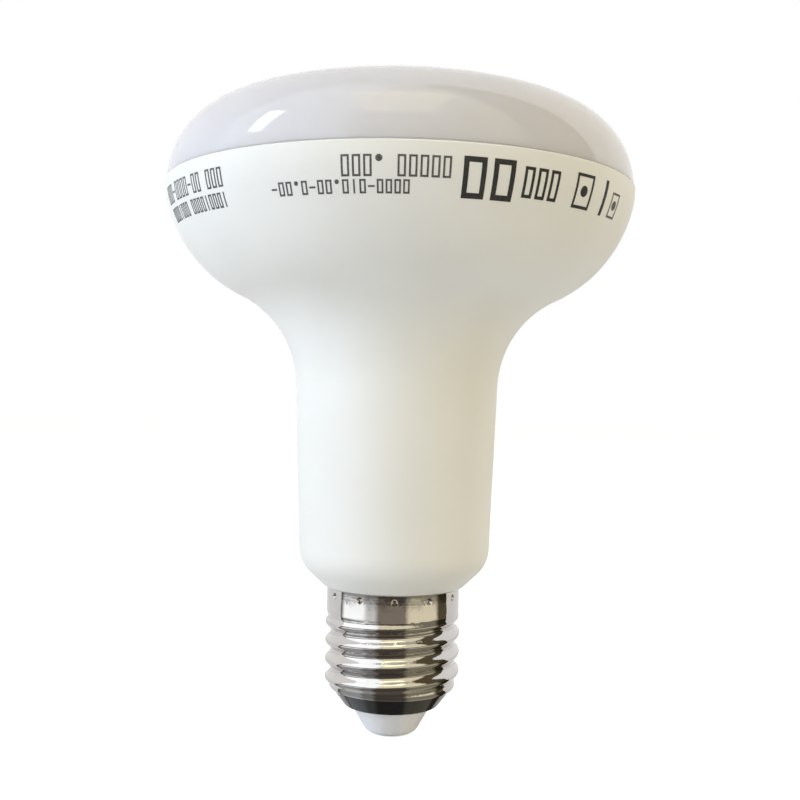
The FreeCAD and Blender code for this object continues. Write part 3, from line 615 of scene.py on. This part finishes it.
def room_glow():
    """Light of a plain room: window, grey wall, brown cupboard, tan wall and doorway."""
    made, tree = material("room_glow")
    height = add(tree, "ShaderNodeSeparateXYZ", {0: place_on_part(tree)}).outputs["Z"]
    # The room's floor carries a painted shadow of the part near its foot
    low = add(tree, "ShaderNodeMix", {0: 1.0, 6: sectors(tree, ROOM_SIDES), 7: floor_shadow_and_edge(tree)},
              data_type="RGBA", blend_type="MULTIPLY")
    share = add(tree, "ShaderNodeMapRange",
                {"Value": height, "From Min": WALL_START[0], "From Max": WALL_START[1]})
    high = sectors(tree, UPPER_WALLS)
    tone = add(tree, "ShaderNodeMix", {0: share.outputs[0], 6: low.outputs[2], 7: high},
               data_type="RGBA")
    return shaded(made, add(tree, "ShaderNodeEmission", {"Color": tone.outputs[2], "Strength": ROOM_GLOW}))


def room_in_gloss():
    """Front half of a room, floor and walls, that only the part's gloss shows. The back stays white."""
    rings = [(reach, 0) for reach in FLOOR_RINGS]
    rings += [(ROOM_RADIUS * math.cos(math.radians(rise)), ROOM_RADIUS * math.sin(math.radians(rise)))
              for rise in range(ROOM_STEP, 90, ROOM_STEP)]
    first, last = ROOM_SECTOR
    count = (last - first) // ROOM_STEP + 1
    bearings = [first + (last - first) * k / (count - 1) for k in range(count)]
    corners = [toward(bearing, 0) * reach + Vector((0, 0, height)) for reach, height in rings
               for bearing in bearings]
    faces = [(i * count + k, i * count + k + 1, (i + 1) * count + k + 1, (i + 1) * count + k)
             for i in range(len(rings) - 1) for k in range(count - 1)]
    only_in_gloss(link_mesh("room", corners, faces, room_glow()))


def ceiling_card():
    """Pale panel overhead whose soft reflection lies on the dome."""
    x, near, far, height = CEILING_CARD
    corners = [(-x, -far, height), (x, -far, height), (x, -near, height), (-x, -near, height)]
    made, tree = material("ceiling_card")
    light = add(tree, "ShaderNodeEmission", {"Color": colour("#FFF3CC"), "Strength": CEILING_GLOW})
    only_in_gloss(link_mesh("ceiling_card", corners, [(0, 1, 2, 3)], shaded(made, light)))


LAMP_TARGET = Vector((0, 0, 0.07))
LAMP_DISTANCE = 0.6
FLOOR_SIZE = 6.0
FLOOR_DROP = -0.1 * MM
FLOOR_TO_CAMERA = 0.75
FLOOR_IN_GLOSS = 0.3
ROOM_LEVEL = (0.60, 0.38)
ROOM_RADIUS = 0.9
FLOOR_RINGS = (0.001, 0.03, ROOM_RADIUS)
ROOM_STEP = 7
ROOM_SECTOR = (-95, 103)
ROOM_GLOW = 1.8
WINDOW = "#F0F4F8"
GREY_WALL = "#B8B8B8"
CUPBOARD = "#706860"
TAN_WALL = "#C8C0A8"
DOORWAY = "#484030"
# What stands round the part and the walls above it, each from its azimuth on, in degrees
ROOM_SIDES = ((-180, DOORWAY), (-90, WINDOW), (-45, GREY_WALL), (-25, CUPBOARD), (25, TAN_WALL),
              (80, DOORWAY))
UPPER_WALLS = ((-180, WINDOW), (-25, TAN_WALL), (60, DOORWAY))
SIDE_SOFTNESS = 4
SHADE_REACH = 0.2
# Share of light on the room's floor right under the foot: a painted shadow of the part
FOOT_SHADOW = 0.4
# Distance from the axis in metres, and the share of light that the room's floor has there; the low shares
# near the axis are a painted shadow of the part
FLOOR_SHADOW_AND_EDGE = ((0.013, FOOT_SHADOW), (0.02, 0.25), (0.065, 0.25), (0.095, 1.0), (0.155, 1.0),
                (0.16, 0.25))
WALL_START = (0.10, 0.20)
# Half width, near edge, far edge and height in metres
CEILING_CARD = (0.17, 0.14, 0.55, 0.66)
CEILING_GLOW = 2.3

make_camera()
room_light()
make_floor()
softbox("panel_left", -63, 10, (0.70, 0.55), 3.0, "#D4E3FF")
softbox("window_left", -72, 38, (0.08, 0.20), 5.5, "#E4EEFF", mirrored=True)
softbox("panel_right", 56, 12, (0.50, 0.60), 0.62, "#FFEEB4")
softbox("window_right", 95, 50, (0.50, 0.50), 1.1, "#F4F4FF")
softbox("panel_top", 12, 55, (0.50, 0.50), 0.45, "#FFFAF2")
softbox("panel_back", 170, 15, (0.60, 0.60), 0.6, "#E8EFFF")
room_in_gloss()
ceiling_card()

sleeve_plastic = plain_moulding("glass_filled_pbt", "#E2DFD6", "#EAE7DF", 0.5)
black_epoxy = plain_moulding("black_epoxy", "#131314", "#1C1C1E", 0.45)
black_wire = insulated_wire("black_silicone_wire", "#141415", "#1D1D1F")
finishes = {
    "diffuser_dome": opal_polycarbonate(),
    "housing_body": moulded_white_pbt(),
    "cap_shell": nickel_plated_brass(),
    "cap_insulator": black_vitrite_glass(),
    "centre_contact": tinned_contact(),
    "heat_sink_liner": spun_aluminium(),
    "led_plate": rolled_aluminium(),
    "led_board": solder_mask("white_solder_mask", "#EDEDE8", "#F4F4F0"),
    "led_chips": phosphor_chip(),
    "led_board_screws": zinc_plated_steel(),
    "driver_sleeve": sleeve_plastic,
    "sleeve_lid": sleeve_plastic,
    "driver_board": solder_mask("green_solder_mask", "#1F5A34", "#27683D"),
    "bulk_capacitor": shrink_sleeve("bulk_capacitor"),
    "output_capacitor": shrink_sleeve("output_capacitor"),
    "film_capacitor": plain_moulding("dipped_red_epoxy", "#7E2418", "#8C2B1D", 0.3),
    "choke_coil": enamelled_copper(),
    "transformer_core": plain_moulding("sintered_ferrite", "#232325", "#2E2E30", 0.6),
    "transformer_bobbin": plain_moulding("phenolic_bobbin", "#17150F", "#211E17", 0.5),
    "transformer_winding": polyester_tape(),
    "bridge_rectifier": black_epoxy,
    "driver_chip": black_epoxy,
    "output_diode": black_epoxy,
    "board_resistors": plain_moulding("resistor_glass_film", "#101012", "#1A1A1D", 0.3),
    "fusible_resistor": lacquered_resistor(),
    "live_lead": black_wire,
    "neutral_lead": black_wire,
    "led_lead_positive": insulated_wire("red_silicone_wire", "#A11A14", "#B3231C"),
    "led_lead_negative": black_wire,
}
for name, finish in finishes.items():
    nodes[name].data.materials.clear()
    nodes[name].data.materials.append(finish)

fine_print()
bold_print()
